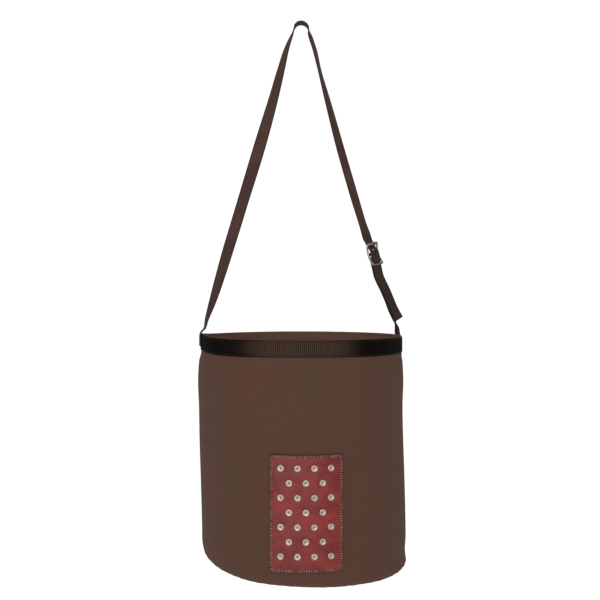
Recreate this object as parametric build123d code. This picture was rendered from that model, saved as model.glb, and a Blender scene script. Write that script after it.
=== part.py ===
from build123d import *
from math import cos, degrees, radians, sin
import os

# A round canvas bag on an adjustable hanging strap.  Millimetres, +Z up, -Y to the front.
# The origin is the underside of the strap's crown, where the hook it hangs from bears.

# canvas bag
MOUTH_Z = -470.0  # top edge of the mouth
BOTTOM_Z = -800.0  # flat underside
MOUTH_R = 150.4  # outer face of the canvas under the band
BODY_R = 152.4  # outer face of the canvas below the shoulder
NECK_Z = -500.0  # the wall widens from the mouth to the body between these heights
SHOULDER_Z = -550.0
CANVAS_T = 1.2
HEM_H = 27.0  # canvas turned in at the mouth
CORNER_R = 9.0  # outer rounding between wall and bottom
MARGIN_H = 10.0  # seam margins turned up inside the bottom corner
BACK_LAP_W = 14.0  # width of the wall's lapped back seam
BACK_LAP_TURN = 3.6  # degrees the back seam stands off the bag's rear centre line
SEWN_GAP = 0.05  # between cloth faces that lie on each other

# webbing band round the mouth
BAND_T = 1.15
BAND_H = 24.0
BAND_TOP_Z = -470.8  # the canvas edge just shows above it
BAND_LAP_TURN = 163.0  # degrees round from +X where the band's lapped end lies
BAND_LAP_SPAN = 11.0  # degrees covered by the lap

# leather vent patch and its eyelets
PATCH_W = 100.0  # along the wall
PATCH_H = 155.0
PATCH_TOP_Z = -620.5
PATCH_T = 2.0
PATCH_X = 6.6  # the patch's centre line stands this far right of the bag's front line
EYELET_ROWS = [4, 3, 4, 3, 4, 3, 4]
EYELET_PITCH = 22.5  # along a row
EYELET_ROW_PITCH = 19.4
EYELET_TOP_Z = -639.3
EYELET_X = 5.6  # centre line of the eyelet field
EYELET_FLANGE_R = 4.45
EYELET_FLANGE_T = 0.7
EYELET_BARREL_R = 1.9
EYELET_HOLE_R = 1.3
EYELET_LIP_R = 2.7
EYELET_LIP_T = 0.35
EYELET_BED_R = 2.0  # hole through leather, canvas and washer
WASHER_R = 4.6
WASHER_T = 0.5

# thread
THREAD_W = 0.7
THREAD_T = 0.35
PATCH_SEAM_IN = 3.0  # stitch line inside the patch's edge
RIM_SEAM_IN = 2.2  # stitch lines inside the band's edges

# strap webbing
STRAP_W = 19.0
STRAP_T = 1.4
STRAP_END_W = 18.6  # sewn ends, and the rounded top of each has half this radius
STRAP_END_LOW_Z = -488.0
ANCHOR_TURN = 11.5  # degrees the sewn ends stand round from the bag's left and right
HINGE_Z = -476.0  # the bag swings about the line through both sewn ends at this height
FREE_GAP = 0.3  # clear of bodies that move
CROWN_R = 11.0  # inner radius of the strap's crown
CROWN_HALF_ANGLE = 68.0
CROWN_STEPS = 8

# stations of the strap's legs, crown downwards: distance out from the centre line, depth
# below the origin, and the heading of the ribbon's near edge from straight ahead
LEFT_LEG = [
    (15.0, 17.5, 8.0),
    (23.6, 41.0, 19.0),
    (44.0, 117.0, 46.0),
    (66.0, 193.0, 72.0),
    (89.0, 268.0, 61.0),
    (112.0, 343.0, 56.0),
    (134.0, 417.0, 37.0),
    (145.0, 446.0, 20.0),
    (151.0, 460.0, 13.0),
]
RIGHT_LEG = [
    (13.6, 17.5, -10.0),
    (20.3, 38.5, -14.0),
    (27.6, 68.5, -14.0),
    (40.0, 113.0, -22.0),
    (61.0, 188.0, -35.0),
    (84.0, 264.0, -40.0),
    (97.0, 305.0, -44.0),
]
LOWER_LEG = [
    (120.4, 381.0, -48.0),
    (129.0, 401.5, -48.0),
    (136.0, 417.0, -47.0),
    (142.0, 432.0, -38.0),
    (147.8, 446.0, -14.0),
    (152.2, 458.5, 6.0),
]
# the loose end leaves the doubled strap: place along LOWER_LEG, how far it stands off, heading
TAIL = [
    (0, 2.25, -48.0),
    (1, 2.25, -48.0),
    (2, 2.5, -48.0),
    (3, 4.6, -48.0),
    (4, 8.0, -47.0),
]
RIBBON_STEPS = 3  # loft sections between stations

# buckle, in its own frame: y up the strap, z outwards, x along the bars
BUCKLE_OUT = 112.6  # centre bar's distance from the centre line
BUCKLE_DEPTH = 346.3
BUCKLE_LEAN = 13.0  # degrees from upright
BUCKLE_HEADING = -48.0
FRAME_W = 25.0
FRAME_IN_W = 20.4
BAR_R = 1.2
RAIL_T = 2.5
RAIL_ROUND = 0.7
FRAME_ROUND_R = 4.0
ROLLER_Y, ROLLER_Z = 15.4, 2.2
KEEPER_Y, KEEPER_Z = -16.7, 5.1
ROLLER_R = 2.5
ROLLER_L = 19.8
RUNNING_GAP = 0.06
TONGUE_W = 2.6
TONGUE_T = 1.4
TONGUE_TIP_Y = 18.0
TONGUE_REST_GAP = 0.15
SLOT_W = 3.6  # hole in the upper strap for the tongue
SLOT_LOW_Y, SLOT_HIGH_Y = -1.8, 7.4
LOOP_SLOT_W = 4.2  # hole in the doubled strap's fold for the tongue's eye
EYE_R = 2.46  # outside of the tongue's eye
FOLD_SEAM_Y = 6.0  # stitches that close the strap's fold, below the centre bar
LOOP_R = BAR_R + SEWN_GAP + STRAP_T
DOUBLED_DOWN = [2.0, 8.0, 22.0]  # stations of the doubled strap below the centre bar
FRAME_BOW = [
    (KEEPER_Y - RAIL_T, KEEPER_Z + 0.6),
    (KEEPER_Y, KEEPER_Z),
    (-8.0, 1.2),
    (0.0, 0.0),
    (8.0, 0.3),
    (ROLLER_Y, ROLLER_Z),
    (ROLLER_Y + RAIL_T, ROLLER_Z + 1.0),
]
TONGUE_BEND_Y = 13.0
# middle line of the upper strap where it is threaded through the buckle
THREADED = [
    (23.5, -4.8),
    (19.5, -3.7),
    (15.4, -2.25),
    (10.5, -0.2),
    (6.0, 2.1),
    (3.0, 3.15),
    (0.0, 3.45),
    (-3.0, 3.4),
    (-8.0, 2.75),
    (-12.5, 2.4),
    (-16.7, 2.3),
    (-22.0, 2.25),
]

FRONT = 270.0  # degrees round from +X
TOP_BAND_R = MOUTH_R + BAND_T
PATCH_R = BODY_R + SEWN_GAP + PATCH_T


def sector(inner, outer, low, high, start, end):
    """Piece of a round wall between two radii, two heights and two headings."""
    profile = Pos((inner + outer) / 2, 0, (low + high) / 2) * Rot(90, 0, 0) * Rectangle(
        outer - inner, high - low
    )
    return Rot(0, 0, start) * revolve(profile, Axis.Z, end - start)


def turned(points):
    """Solid of revolution about Z from a closed outline of radius and height."""
    outline = [(r, 0, z) for r, z in points]
    return revolve(make_face(Polyline(*outline, close=True)), Axis.Z)


def group(pieces):
    """Separate solids of one kind, kept in one part."""
    return Compound([solid for piece in pieces for solid in piece.solids()])


def angle_of(arc, radius):
    """Degrees spanned by a length along a circle."""
    return degrees(arc / radius)


def patch_heading(offset):
    """Heading on the wall of a point this far right of the bag's front line."""
    return FRONT + angle_of(offset, PATCH_R)


def vent_points():
    """Heading and height of every eyelet."""
    points = []
    for row, count in enumerate(EYELET_ROWS):
        height = EYELET_TOP_Z - row * EYELET_ROW_PITCH
        for place in range(count):
            along = EYELET_X + (place - (count - 1) / 2) * EYELET_PITCH
            points.append((patch_heading(along), height))
    return points


def radial(heading, height, radius):
    """Location on the wall with its z axis pointing outwards."""
    return Rot(0, 0, heading) * Pos(radius, 0, height) * Rot(0, 90, 0)


def wall_canvas():
    inner = BODY_R - CANVAS_T
    fold_r = BODY_R - CORNER_R
    start_z = BOTTOM_Z + CORNER_R
    with BuildSketch(Plane.XZ) as profile:
        with BuildLine():
            Polyline(
                (fold_r + CANVAS_T, BOTTOM_Z + 2 * CANVAS_T),
                (fold_r + CANVAS_T, BOTTOM_Z + MARGIN_H),
                (fold_r, BOTTOM_Z + MARGIN_H),
                (fold_r, BOTTOM_Z),
            )
            CenterArc((fold_r, start_z), CORNER_R, -90, 90)
            Polyline(
                (BODY_R, start_z),
                (BODY_R, SHOULDER_Z),
                (MOUTH_R, NECK_Z),
                (MOUTH_R, MOUTH_Z),
                (MOUTH_R - 2 * CANVAS_T, MOUTH_Z),
                (MOUTH_R - 2 * CANVAS_T, MOUTH_Z - HEM_H),
                (MOUTH_R - CANVAS_T, MOUTH_Z - HEM_H),
                (MOUTH_R - CANVAS_T, NECK_Z),
                (inner, SHOULDER_Z),
                (inner, start_z),
                (fold_r + CANVAS_T, BOTTOM_Z + 2 * CANVAS_T),
            )
        make_face()
    wall = revolve(profile.sketch, Axis.Z)
    lap_low = start_z + CANVAS_T
    lap = make_face(
        Polyline(
            (inner, 0, lap_low),
            (inner, 0, SHOULDER_Z),
            (MOUTH_R - CANVAS_T, 0, NECK_Z),
            (MOUTH_R - CANVAS_T, 0, MOUTH_Z - HEM_H),
            (MOUTH_R - 2 * CANVAS_T, 0, MOUTH_Z - HEM_H),
            (MOUTH_R - 2 * CANVAS_T, 0, MOUTH_Z),
            (MOUTH_R - 3 * CANVAS_T, 0, MOUTH_Z),
            (MOUTH_R - 3 * CANVAS_T, 0, NECK_Z),
            (inner - CANVAS_T, 0, SHOULDER_Z),
            (inner - CANVAS_T, 0, lap_low),
            close=True,
        )
    )
    span = angle_of(BACK_LAP_W, inner)
    wall += Rot(0, 0, 90 + BACK_LAP_TURN - span / 2) * revolve(lap, Axis.Z, span)
    for heading, height in vent_points():
        wall -= radial(heading, height, BODY_R) * Cylinder(EYELET_BED_R, 4 * CANVAS_T)
    return wall


def bottom_canvas():
    edge = BODY_R - CORNER_R - SEWN_GAP
    return turned(
        [
            (0, BOTTOM_Z),
            (edge, BOTTOM_Z),
            (edge, BOTTOM_Z + MARGIN_H),
            (edge - CANVAS_T, BOTTOM_Z + MARGIN_H),
            (edge - CANVAS_T, BOTTOM_Z + CANVAS_T),
            (0, BOTTOM_Z + CANVAS_T),
        ]
    )


def rim_band():
    low = BAND_TOP_Z - BAND_H
    inner = MOUTH_R + SEWN_GAP
    band = sector(inner, TOP_BAND_R, low, BAND_TOP_Z, 0, 360)
    lap = sector(
        TOP_BAND_R,
        TOP_BAND_R + BAND_T,
        low,
        BAND_TOP_Z,
        BAND_LAP_TURN,
        BAND_LAP_TURN + BAND_LAP_SPAN,
    )
    return band + lap


def rim_threads():
    inner = TOP_BAND_R + SEWN_GAP
    rows = [BAND_TOP_Z - RIM_SEAM_IN, BAND_TOP_Z - BAND_H + RIM_SEAM_IN]
    strap_half = angle_of(STRAP_END_W, TOP_BAND_R) / 2 + 1
    gaps = [
        (ANCHOR_TURN + strap_half, BAND_LAP_TURN - 1),
        (BAND_LAP_TURN + BAND_LAP_SPAN + 1, 180 + ANCHOR_TURN - strap_half),
        (180 + ANCHOR_TURN + strap_half, 360 + ANCHOR_TURN - strap_half),
    ]
    runs = []
    for height in rows:
        for start, end in gaps:
            run = sector(
                inner,
                inner + THREAD_T,
                height - THREAD_W / 2,
                height + THREAD_W / 2,
                start,
                end,
            )
            runs.append(run)
    return group(runs)


def back_seam_threads():
    outer = BODY_R + SEWN_GAP + THREAD_T
    runs = []
    for side in (-1, 1):
        along = side * (BACK_LAP_W / 2 - RIM_SEAM_IN)
        heading = 90 + BACK_LAP_TURN + angle_of(along, BODY_R)
        half = angle_of(THREAD_W, BODY_R) / 2
        run = sector(
            BODY_R + SEWN_GAP,
            outer,
            BOTTOM_Z + CORNER_R,
            SHOULDER_Z,
            heading - half,
            heading + half,
        )
        runs.append(run)
    return group(runs)


def bottom_seam_thread():
    """Thread through the turned-up margins, on the bottom panel's inner face."""
    outer = BODY_R - CORNER_R - SEWN_GAP - CANVAS_T - SEWN_GAP
    height = BOTTOM_Z + MARGIN_H / 2
    return sector(
        outer - THREAD_T, outer, height - THREAD_W / 2, height + THREAD_W / 2, 0, 360
    )


def patch_window(margin, inner, outer):
    half = angle_of(PATCH_W / 2 - margin, PATCH_R)
    middle = patch_heading(PATCH_X)
    return sector(
        inner,
        outer,
        PATCH_TOP_Z - PATCH_H + margin,
        PATCH_TOP_Z - margin,
        middle - half,
        middle + half,
    )


def vent_patch():
    patch = patch_window(0, BODY_R + SEWN_GAP, PATCH_R)
    for heading, height in vent_points():
        patch -= radial(heading, height, PATCH_R) * Cylinder(EYELET_BED_R, 3 * PATCH_T)
    return patch


def patch_thread():
    inner = PATCH_R + SEWN_GAP
    outer = inner + THREAD_T
    line = patch_window(PATCH_SEAM_IN, inner, outer)
    return line - patch_window(PATCH_SEAM_IN + THREAD_W, inner - 1, outer + 1)


def vent_eyelets():
    """Eyelets pressed through leather, canvas and washer, rolled over inside."""
    deep = PATCH_R - (BODY_R - CANVAS_T) + WASHER_T + 5 * SEWN_GAP
    seat = 2 * SEWN_GAP
    profile = turned(
        [
            (EYELET_HOLE_R, -deep - EYELET_LIP_T),
            (EYELET_LIP_R, -deep - EYELET_LIP_T),
            (EYELET_LIP_R, -deep),
            (EYELET_BARREL_R, -deep),
            (EYELET_BARREL_R, seat),
            (EYELET_FLANGE_R, seat),
            (EYELET_FLANGE_R - EYELET_FLANGE_T / 2, seat + EYELET_FLANGE_T * 0.6),
            (EYELET_HOLE_R + EYELET_FLANGE_T, seat + EYELET_FLANGE_T),
            (EYELET_HOLE_R, seat + EYELET_FLANGE_T / 2),
        ]
    )
    placed = [radial(a, z, PATCH_R) * profile for a, z in vent_points()]
    return group(placed)


def eyelet_washers():
    """Plain washers behind the eyelets, on the canvas's inner face."""
    inner_face = BODY_R - CANVAS_T - SEWN_GAP - WASHER_T / 2
    ring = Cylinder(WASHER_R, WASHER_T) - Cylinder(EYELET_BED_R, WASHER_T)
    sag = inner_face - (inner_face**2 - WASHER_R**2) ** 0.5
    placed = [radial(a, z, inner_face - sag) * ring for a, z in vent_points()]
    return group(placed)


def end_outline(half_width, low):
    """Outline of a sewn strap end: straight below the hinge line, rounded above it."""
    length = HINGE_Z - low
    outline = Circle(half_width)
    return outline + Pos(0, -length / 2) * Rectangle(2 * half_width, length)


def strap_end(turn, plies):
    inner = TOP_BAND_R + SEWN_GAP
    outwards = Vector(cos(radians(turn)), sin(radians(turn)), 0)
    sideways = Vector(-sin(radians(turn)), cos(radians(turn)), 0)
    face = Plane(origin=(0, 0, HINGE_Z), x_dir=sideways, z_dir=outwards)
    outline = end_outline(STRAP_END_W / 2, STRAP_END_LOW_Z)
    block = extrude(face * outline, 2 * BODY_R)
    shell = sector(
        inner, inner + plies * STRAP_T, STRAP_END_LOW_Z, HINGE_Z + STRAP_W, 0, 360
    )
    return block & shell


def strap_end_thread(turn, plies):
    """Box of stitches through a strap end, below the hinge line."""
    inner = TOP_BAND_R + 2 * SEWN_GAP + plies * STRAP_T
    reach = STRAP_END_W / 2 - RIM_SEAM_IN
    half = angle_of(reach, inner)
    thin = angle_of(THREAD_W, inner)
    low = STRAP_END_LOW_Z + RIM_SEAM_IN
    box = sector(inner, inner + THREAD_T, low, HINGE_Z, turn - half, turn + half)
    hole = sector(
        inner - 1,
        inner + 1 + THREAD_T,
        low + THREAD_W,
        HINGE_Z - THREAD_W,
        turn - half + thin,
        turn + half - thin,
    )
    return box - hole


def strap_point(out, depth):
    turn = radians(ANCHOR_TURN)
    return Vector(out * cos(turn), out * sin(turn), -depth)


def near_edge(heading, along):
    """Unit vector across the ribbon to its near edge, square to the way it runs."""
    across = Vector(sin(radians(heading)), -cos(radians(heading)), 0)
    return (across - along * across.dot(along)).normalized()


def ribbon(frames, thickness):
    """Webbing lofted through frames of middle point, near edge and way it runs."""
    sections = []
    for middle, across, along in frames:
        place = Plane(origin=middle, x_dir=across, z_dir=along)
        sections.append(place * Rectangle(STRAP_W, thickness))
    return loft(sections, ruled=True)


def smooth_run(points, headings):
    """Frames along a spline through points, with the near edge's heading eased between."""
    path = Spline(*points)
    stations = [path.param_at_point(point) for point in points]
    frames = []
    for low, high, first, last in zip(stations, stations[1:], headings, headings[1:]):
        for step in range(RIBBON_STEPS):
            share = step / RIBBON_STEPS
            at = low + (high - low) * share
            along = path % at
            heading = first + (last - first) * share
            frames.append((path @ at, near_edge(heading, along), along))
    frames.append((path @ 1, near_edge(headings[-1], path % 1), path % 1))
    return frames


def buckle_plane():
    """Frame of the buckle: x along the bars, y up the strap, z outwards."""
    turn = radians(ANCHOR_TURN)
    lean = radians(BUCKLE_LEAN)
    up = Vector(-sin(lean) * cos(turn), -sin(lean) * sin(turn), cos(lean))
    across = near_edge(BUCKLE_HEADING, up)
    origin = strap_point(BUCKLE_OUT, BUCKLE_DEPTH)
    return Plane(origin=origin, x_dir=across * -1, z_dir=up.cross(across))


def seam_station(side, plies):
    """Lowest frame of the free strap, just above a sewn end's rounded top."""
    out = TOP_BAND_R + FREE_GAP + plies * STRAP_T / 2
    depth = -HINGE_Z - STRAP_END_W / 2 - FREE_GAP
    return strap_point(side * out, depth), ANCHOR_TURN


def doubled_run():
    """Frames of the doubled strap from the centre bar down to the rim."""
    buckle = buckle_plane()
    points = [buckle.from_local_coords((0, -y, 0)) for y in DOUBLED_DOWN]
    headings = [BUCKLE_HEADING for y in DOUBLED_DOWN]
    for out, depth, turn in LOWER_LEG:
        points.append(strap_point(out, depth))
        headings.append(turn)
    point, turn = seam_station(1, 2)
    return smooth_run(points + [point], headings + [turn])


def tail_stations():
    doubled = doubled_run()[:: RIBBON_STEPS][len(DOUBLED_DOWN) :]
    stations = []
    for place, off, turn in TAIL:
        middle, across, along = doubled[place]
        stations.append((middle + across.cross(along) * off, turn))
    return stations


def upper_strap():
    buckle = buckle_plane()
    left = [(strap_point(-out, depth), turn) for out, depth, turn in LEFT_LEG]
    left.append(seam_station(-1, 1))
    crown = []
    reach = CROWN_R + STRAP_T / 2
    for step in range(-CROWN_STEPS, CROWN_STEPS + 1):
        angle = radians(CROWN_HALF_ANGLE * step / CROWN_STEPS)
        out = reach * sin(angle)
        crown.append((strap_point(out, CROWN_R - reach * cos(angle)), 0.0))
    right = [(strap_point(out, depth), turn) for out, depth, turn in RIGHT_LEG]
    threaded = [
        (buckle.from_local_coords((0, y, z)), BUCKLE_HEADING) for y, z in THREADED
    ]
    stations = left[::-1] + crown + right + threaded + tail_stations()
    points = [point for point, heading in stations]
    headings = [heading for point, heading in stations]
    strap = ribbon(smooth_run(points, headings), STRAP_T)
    slot = Pos(0, (SLOT_LOW_Y + SLOT_HIGH_Y) / 2, ROLLER_R) * Box(
        SLOT_W, SLOT_HIGH_Y - SLOT_LOW_Y, 2 * ROLLER_R
    )
    return strap - buckle.location * slot


def lower_strap():
    """Webbing folded round the centre bar and sewn to itself as one doubled strap."""
    along_bar = buckle_plane().location * Rot(0, 90, 0)
    strap = ribbon(doubled_run(), 2 * STRAP_T)
    strap += along_bar * Cylinder(LOOP_R, STRAP_W)
    strap -= along_bar * Cylinder(BAR_R + SEWN_GAP, STRAP_W)
    return strap - along_bar * Cylinder(EYE_R + FREE_GAP, LOOP_SLOT_W)


def fold_thread():
    """Bar of stitches that closes the fold under the buckle, across the back face."""
    run = Pos(0, -FOLD_SEAM_Y, -STRAP_T - SEWN_GAP - THREAD_T / 2) * Box(
        STRAP_W - 2 * RIM_SEAM_IN, THREAD_W, THREAD_T
    )
    return buckle_plane().location * run


def buckle_frame():
    top = ROLLER_Y + RAIL_T / 2
    low = KEEPER_Y - RAIL_T / 2
    middle = Pos(0, (top + low) / 2)
    side = (FRAME_W - FRAME_IN_W) / 2
    outline = middle * RectangleRounded(FRAME_W, top - low, FRAME_ROUND_R)
    window = middle * RectangleRounded(
        FRAME_IN_W, top - low - 2 * RAIL_T, FRAME_ROUND_R - side
    )
    ring = extrude(outline - window, FRAME_W, both=True)
    bow = trace(Spline(*FRAME_BOW), RAIL_T)
    frame = ring & extrude(Plane.YZ * bow, FRAME_W, both=True)
    frame = fillet(frame.edges(), RAIL_ROUND)
    frame -= Pos(0, ROLLER_Y, ROLLER_Z) * Box(
        FRAME_IN_W, 2 * ROLLER_R, 4 * ROLLER_R
    )
    for y, z in ((ROLLER_Y, ROLLER_Z), (0, 0)):
        frame += Pos(0, y, z) * Rot(0, 90, 0) * Cylinder(BAR_R, FRAME_IN_W + side)
    return buckle_plane().location * frame


def buckle_roller():
    tube = Cylinder(ROLLER_R, ROLLER_L) - Cylinder(BAR_R + RUNNING_GAP, ROLLER_L)
    return buckle_plane().location * Pos(0, ROLLER_Y, ROLLER_Z) * Rot(0, 90, 0) * tube


def buckle_tongue():
    rest_z = ROLLER_Z + ROLLER_R + TONGUE_REST_GAP + TONGUE_T / 2
    root_z = EYE_R - TONGUE_T / 2
    line = Polyline(
        (0, root_z),
        (TONGUE_BEND_Y, rest_z),
        (ROLLER_Y, rest_z),
        (TONGUE_TIP_Y, rest_z - TONGUE_T / 2),
    )
    profile = trace(line, TONGUE_T) + Circle(EYE_R)
    profile -= Circle(BAR_R + RUNNING_GAP)
    tongue = extrude(Plane.YZ * profile, TONGUE_W / 2, both=True)
    return buckle_plane().location * tongue


NODES = {
    "wall_canvas": wall_canvas,
    "bottom_canvas": bottom_canvas,
    "rim_band": rim_band,
    "rim_threads": rim_threads,
    "back_seam_threads": back_seam_threads,
    "bottom_seam_thread": bottom_seam_thread,
    "vent_patch": vent_patch,
    "patch_thread": patch_thread,
    "vent_eyelets": vent_eyelets,
    "eyelet_washers": eyelet_washers,
    "strap_end_left": lambda: strap_end(180 + ANCHOR_TURN, 1),
    "strap_end_right": lambda: strap_end(ANCHOR_TURN, 2),
    "left_end_thread": lambda: strap_end_thread(180 + ANCHOR_TURN, 1),
    "right_end_thread": lambda: strap_end_thread(ANCHOR_TURN, 2),
    "upper_strap": upper_strap,
    "lower_strap": lower_strap,
    "fold_thread": fold_thread,
    "buckle_frame": buckle_frame,
    "buckle_roller": buckle_roller,
    "buckle_tongue": buckle_tongue,
}

os.makedirs("parts", exist_ok=True)
for node, build in NODES.items():
    part = build()
    part.label = node
    export_step(part, f"parts/{node}.step")
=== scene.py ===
"""A canvas feed bag hanging from its buckled strap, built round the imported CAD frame."""

from functools import partial
from math import cos, degrees, exp, pi, radians, sin

import bmesh
import bpy
import numpy as np
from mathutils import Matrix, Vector, noise


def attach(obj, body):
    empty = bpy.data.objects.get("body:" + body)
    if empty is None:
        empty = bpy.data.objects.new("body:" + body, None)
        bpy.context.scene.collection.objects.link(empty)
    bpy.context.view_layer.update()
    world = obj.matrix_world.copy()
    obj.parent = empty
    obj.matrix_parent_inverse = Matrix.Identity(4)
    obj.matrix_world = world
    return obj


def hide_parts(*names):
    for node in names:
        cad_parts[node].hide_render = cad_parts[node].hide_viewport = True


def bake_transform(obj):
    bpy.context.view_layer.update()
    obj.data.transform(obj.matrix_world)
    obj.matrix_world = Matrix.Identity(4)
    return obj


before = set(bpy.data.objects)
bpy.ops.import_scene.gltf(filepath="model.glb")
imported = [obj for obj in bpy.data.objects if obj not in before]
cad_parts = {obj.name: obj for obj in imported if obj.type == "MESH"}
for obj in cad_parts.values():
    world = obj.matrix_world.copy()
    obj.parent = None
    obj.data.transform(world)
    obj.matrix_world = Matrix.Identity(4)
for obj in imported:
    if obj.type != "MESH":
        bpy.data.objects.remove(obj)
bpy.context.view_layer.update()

MM = 0.001
UP = Vector((0, 0, 1))
FRONT, BACK = 270.0, 90.0

# ---------------------------------------------------------------- sizes, in metres and degrees
MOUTH_Z, BOTTOM_Z = -0.470, -0.800
MOUTH_R, BODY_R = 0.1504, 0.1524
NECK_Z, SHOULDER_Z = -0.500, -0.550
CANVAS_T = 0.0012
HEM_H = 0.027
CORNER_R = 0.009
FOLD_R = BODY_R - CORNER_R
MARGIN_H = 0.010
LAP_TURN, LAP_W = 3.6, 0.014
WALL_STEPS, BOTTOM_STEPS, BOTTOM_SIDES = 66, 26, 240
# clearances that keep two faces out of one plane
GAP, HAIR = 0.00005, 0.00002

# how far the hanging canvas leaves its round form
SWELL, FINE_SWELL, DRAW, PUCKER = 0.0011, 0.0005, 0.0011, 0.00032
TUCK_IN, LIFT_UP, SAG_DOWN = 0.0060, 0.0052, 0.0078
PULL_UP, PULL_IN, BULGE = 0.0036, 0.0015, 0.0015

BAND_T = 0.00115
BAND_TOP_Z, BAND_H = -0.4708, 0.024
BAND_LAP_TURN, BAND_LAP_SPAN = 163.0, 11.0
# rows and seams as shares of the way down the band
BAND_ROWS = (0.0, 0.02, 0.06, 0.12, 0.3, 0.5, 0.7, 0.88, 0.94, 0.98, 1.0)
BAND_SEAMS = (0.092, 0.908)
RIBS, RIB_STEPS, RIB_DEPTH = 366, 8, 0.00050
TOP_BAND_R = MOUTH_R + BAND_T

PATCH_W, PATCH_H, PATCH_T = 0.100, 0.1555, 0.002
PATCH_TOP_Z, PATCH_X = -0.6215, 0.0066
PATCH_R = BODY_R + GAP + PATCH_T
PATCH_STEP, PATCH_CORNER_R = 0.0013, 0.0022
SEAM_IN = 0.0027
EYELET_ROWS = (4, 3, 4, 3, 4, 3, 4)
EYELET_PITCH, EYELET_ROW_PITCH = 0.0225, 0.0194
EYELET_TOP_Z, EYELET_X = -0.6393, 0.0056
EYELET_BED_R, EYELET_SIDES = 0.00205, 30
ASKEW = 0.055
PEG_SIDES = 16

# each row's stitches: pitch, length, width
BAND_STITCH, BAND_STITCH_INSIDE = (0.0034, 0.0027, 0.00062), (0.0034, 0.0026, 0.0006)
BACK_STITCH, BACK_STITCH_INSIDE = (0.0038, 0.0030, 0.00062), (0.0038, 0.0028, 0.0006)
BOTTOM_STITCH = (0.0036, 0.0028, 0.0006)
PATCH_STITCH = (0.0031, 0.0042, 0.0012)
END_STITCH = (0.0026, 0.0021, 0.0006)

STRAP_W, STRAP_T = 0.019, 0.0014
STRAP_STEP = 0.0022
ANCHOR_TURN = 11.5
HINGE_Z = -0.476
CROWN_R = 0.011
END_LOW_Z = -0.488
END_BOX_HALF, END_BOX_RISE = 0.0068, 0.0022
SEWN_R = TOP_BAND_R + RIB_DEPTH * 0.6 + GAP
# the sewn ends' stations: height, how much of the band's curve they take up
SEWN_STATIONS = ((-0.4666, 0.5), (-0.4720, 0.9), (-0.4800, 1.0), (-0.4845, 1.0), (END_LOW_Z, 1.0))

# the strap's stations in millimetres: distance out, depth, heading of the near edge
LEFT_LEG = [
    (14.8, 17.5, 16.0), (23.4, 41.0, 29.0), (31.6, 72.0, 41.0), (43.4, 117.0, 55.0),
    (65.4, 193.0, 77.0), (88.2, 268.0, 69.0), (111.0, 343.0, 64.0), (133.2, 417.0, 41.0),
    (142.6, 446.0, 22.0), (145.8, 459.0, 14.0),
]
RIGHT_LEG = [
    (13.2, 17.0, -21.0), (20.4, 38.5, -23.0), (27.8, 68.5, -19.0), (40.1, 113.0, -30.5),
    (61.0, 188.0, -43.0), (84.0, 264.0, -45.0), (97.0, 305.0, -42.0),
]
LOWER_LEG = [
    (120.8, 381.0, -48.0), (130.8, 401.5, -48.0), (137.4, 417.0, -45.0),
    (142.2, 433.0, -34.0), (146.7, 448.2, -14.0), (150.4, 459.5, 6.0),
]
# its free end: place down LOWER_LEG, how far it stands off, heading
TAIL = [(0, 2.25, -48.0), (1, 2.25, -48.0), (2, 2.5, -48.0), (3, 4.6, -48.0), (4, 8.0, -47.0)]
# its way through the buckle: height above the centre bar, distance in front of it
THREADED = [
    (23.5, -4.8), (19.5, -3.7), (15.4, -2.25), (10.5, -0.2), (6.0, 2.1), (3.0, 3.15),
    (0.0, 3.45), (-3.0, 3.4), (-8.0, 2.75), (-12.5, 2.4), (-16.7, 2.3), (-22.0, 2.25),
]
DOUBLED_DOWN = [3.5, 8.0, 22.0]
BUCKLE_OUT, BUCKLE_DEPTH = 112.6, 346.3
BUCKLE_LEAN, BUCKLE_HEADING = 13.0, -48.0
BAR_R = 1.2
SLOT_XS, SLOT_YS, SLOT_ZS = (-1.8, 1.8), (-1.8, 7.4), (0.6, 5.0)
LOOP_SLOT_W = 4.2
FOLD_STEPS = 20
FOLD_SEAM_ROWS, FOLD_SEAM_HALF, FOLD_STITCHES = (6.0, 8.2), 6.5, 6

# thread pitches, and where the wall's inner face begins along its outline
CANVAS_WEAVE, STRAP_WEAVE, CORD_PITCH = (0.00072, 0.00072), (0.0018, 0.0026), 0.0009
INNER_FROM = 0.356

CAMERA_AT = (-0.0023, -1.219, -0.417)
LENS_MM = 48.5
FLOOR_Z, FLOOR_HALF = -1.35, 9.0
WORLD_DIFFUSE, WORLD_GLOSS, WORLD_SEEN = 0.44, 0.18, 1.05


# ---------------------------------------------------------------- small helpers
def smooth(low, high, value):
    t = min(max((value - low) / (high - low), 0.0), 1.0)
    return t * t * (3 - 2 * t)


def turn_between(a, b):
    """Signed degrees from heading b to heading a."""
    return (a - b + 180.0) % 360.0 - 180.0


def bell(value, width):
    """1 where the value is 0, fading smoothly to 0 on either side."""
    return exp(-((value / width) ** 2))


def outward(heading):
    """Unit vector straight out of the bag at a heading."""
    a = radians(heading)
    return Vector((cos(a), sin(a), 0))


def sideways(heading):
    """Unit vector round the bag at a heading."""
    a = radians(heading)
    return Vector((-sin(a), cos(a), 0))


def round_point(r, heading, z):
    a = radians(heading)
    return Vector((r * cos(a), r * sin(a), z))


def travelled(outline):
    """How far round a closed outline each corner is, then the whole way round."""
    far = [0.0]
    for a, b in zip(outline, outline[1:] + outline[:1]):
        far.append(far[-1] + ((a[0] - b[0]) ** 2 + (a[1] - b[1]) ** 2) ** 0.5)
    return far


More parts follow.
